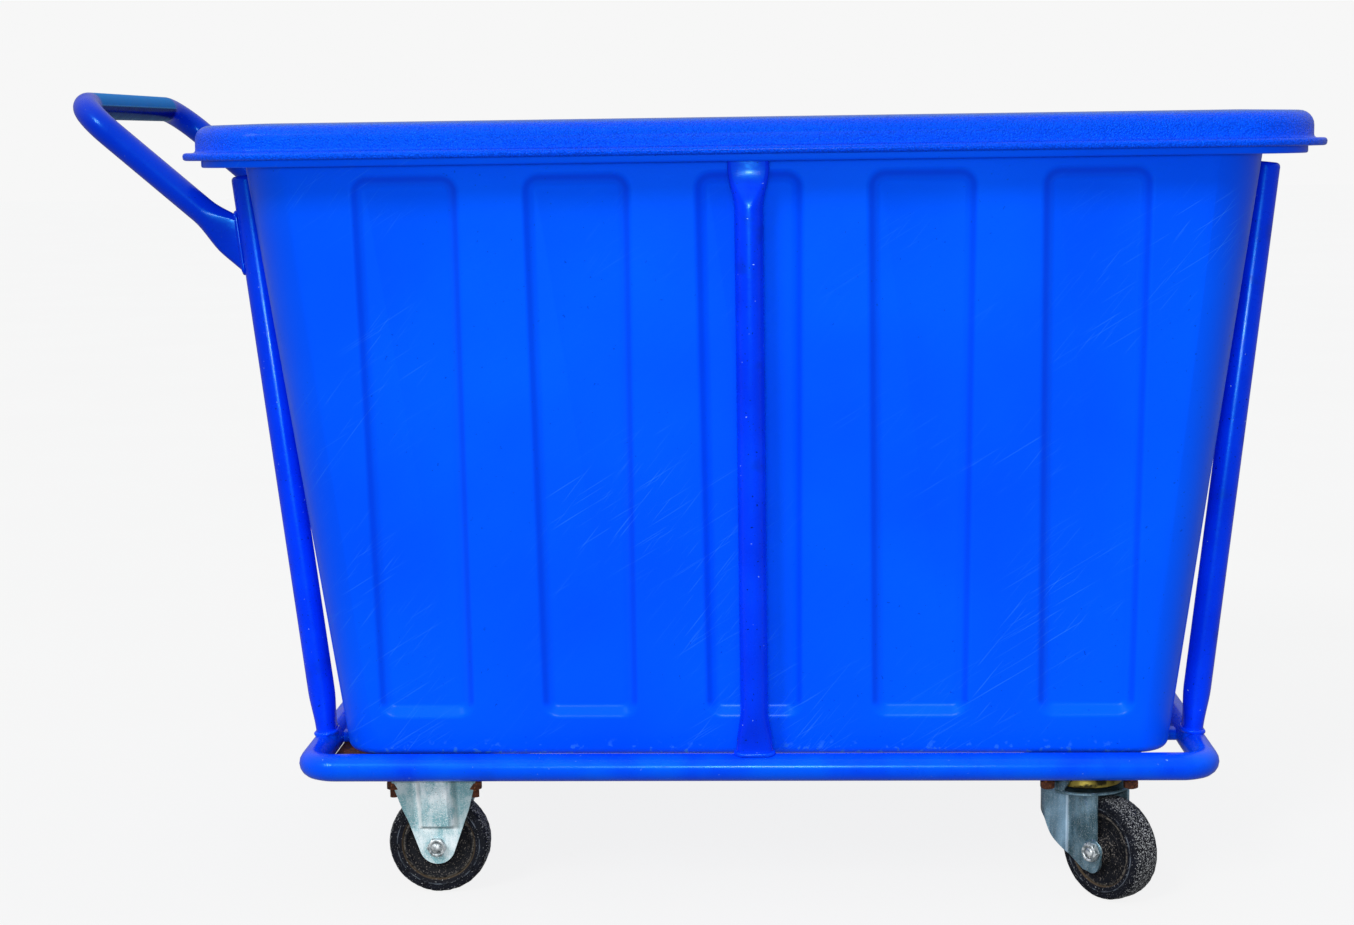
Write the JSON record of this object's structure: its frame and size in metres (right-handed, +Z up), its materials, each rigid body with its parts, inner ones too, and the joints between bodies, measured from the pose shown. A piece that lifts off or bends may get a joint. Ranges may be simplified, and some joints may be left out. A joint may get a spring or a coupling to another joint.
{
  "type": "laundry trolley",
  "caption": "Laundry trolley: moulded plastic tub with lid in a welded tube frame, with a push handle, fixed casters at the handle end and swivel casters at the nose.",
  "frame": {"origin": "on the floor below the middle of the overall box", "axes": "+X from the push handle to the nose with the swivel casters, +Z up, Y across the trolley"},
  "size_m": [1.2096, 0.724, 0.8011],
  "materials": {
    "frame_paint": "glossy blue enamel",
    "tub_plastic": "satin moulded polyethylene, blue",
    "lid_plastic": "pebble-grained moulded polyethylene, blue",
    "rusty_plate": "bare steel with rust",
    "zinc_bracket": "blue-white zinc plate",
    "zinc_fork": "dull zinc plate",
    "yellow_zinc": "yellow passivated zinc",
    "bright_steel": "plated steel",
    "tyre_rubber": "dusty grey-black rubber",
    "core_plastic": "black moulded plastic"
  },
  "bodies": {
    "frame": {"base_loop": "frame_paint", "base_rail_front": "frame_paint", "base_rail_rear": "frame_paint", "side_post_front": "frame_paint", "side_post_rear": "frame_paint", "handle_post_front": "frame_paint", "handle_post_rear": "frame_paint", "nose_post_front": "frame_paint", "nose_post_rear": "frame_paint", "push_handle": "frame_paint", "handle_pad_front": "rusty_plate", "handle_pad_rear": "rusty_plate", "nose_pad_front": "rusty_plate", "nose_pad_rear": "rusty_plate", "rigid_front_bracket": "zinc_bracket", "rigid_front_axle_sleeve": "bright_steel", "rigid_front_axle_bolt": "bright_steel", "rigid_front_axle_nut": "bright_steel", "swivel_front_top_plate": "zinc_bracket", "swivel_front_race_cup": "yellow_zinc", "swivel_front_lower_race": "zinc_bracket", "swivel_front_kingpin": "bright_steel", "rigid_rear_bracket": "zinc_bracket", "rigid_rear_axle_sleeve": "bright_steel", "rigid_rear_axle_bolt": "bright_steel", "rigid_rear_axle_nut": "bright_steel", "swivel_rear_top_plate": "zinc_bracket", "swivel_rear_race_cup": "yellow_zinc", "swivel_rear_lower_race": "zinc_bracket", "swivel_rear_kingpin": "bright_steel"},
    "tub": {"tub": "tub_plastic"},
    "lid": {"lid": "lid_plastic"},
    "rigid_front_wheel": {"rigid_front_tyre": "tyre_rubber", "rigid_front_wheel_core": "core_plastic"},
    "swivel_front": {"swivel_front_fork": "zinc_fork", "swivel_front_upper_ball_ring": "bright_steel", "swivel_front_lower_ball_ring": "bright_steel", "swivel_front_axle_sleeve": "bright_steel", "swivel_front_axle_bolt": "bright_steel", "swivel_front_axle_nut": "bright_steel"},
    "swivel_front_wheel": {"swivel_front_tyre": "tyre_rubber", "swivel_front_wheel_core": "core_plastic"},
    "rigid_rear_wheel": {"rigid_rear_tyre": "tyre_rubber", "rigid_rear_wheel_core": "core_plastic"},
    "swivel_rear": {"swivel_rear_fork": "zinc_fork", "swivel_rear_upper_ball_ring": "bright_steel", "swivel_rear_lower_ball_ring": "bright_steel", "swivel_rear_axle_sleeve": "bright_steel", "swivel_rear_axle_bolt": "bright_steel", "swivel_rear_axle_nut": "bright_steel"},
    "swivel_rear_wheel": {"swivel_rear_tyre": "tyre_rubber", "swivel_rear_wheel_core": "core_plastic"}
  },
  "joints": [
    {"name": "rigid_front_wheel_spin", "type": "hinge", "parent": "frame", "child": "rigid_front_wheel", "pos_m": [-0.24702, -0.217, 0.051], "axis": [0, 1, 0], "continuous": true},
    {"name": "rigid_rear_wheel_spin", "type": "hinge", "parent": "frame", "child": "rigid_rear_wheel", "pos_m": [-0.24702, 0.217, 0.051], "axis": [0, 1, 0], "continuous": true},
    {"name": "swivel_front_turn", "type": "hinge", "parent": "frame", "child": "swivel_front", "pos_m": [0.39698, -0.217, 0.11], "axis": [0, 0, 1], "continuous": true},
    {"name": "swivel_front_wheel_spin", "type": "hinge", "parent": "swivel_front", "child": "swivel_front_wheel", "pos_m": [0.41819, -0.24228, 0.051], "axis": [0.766, 0.6428, 0], "continuous": true},
    {"name": "swivel_rear_turn", "type": "hinge", "parent": "frame", "child": "swivel_rear", "pos_m": [0.39698, 0.217, 0.11], "axis": [0, 0, 1], "continuous": true},
    {"name": "swivel_rear_wheel_spin", "type": "hinge", "parent": "swivel_rear", "child": "swivel_rear_wheel", "pos_m": [0.42799, 0.22829, 0.051], "axis": [-0.342, 0.9397, 0], "continuous": true},
    {"name": "tub_lift", "type": "slide", "parent": "frame", "child": "tub", "axis": [0, 0, 1], "range_m": [0, 0.62]},
    {"name": "lid_lift", "type": "slide", "parent": "tub", "child": "lid", "axis": [0, 0, 1], "range_m": [0, 0.3]}
  ]
}
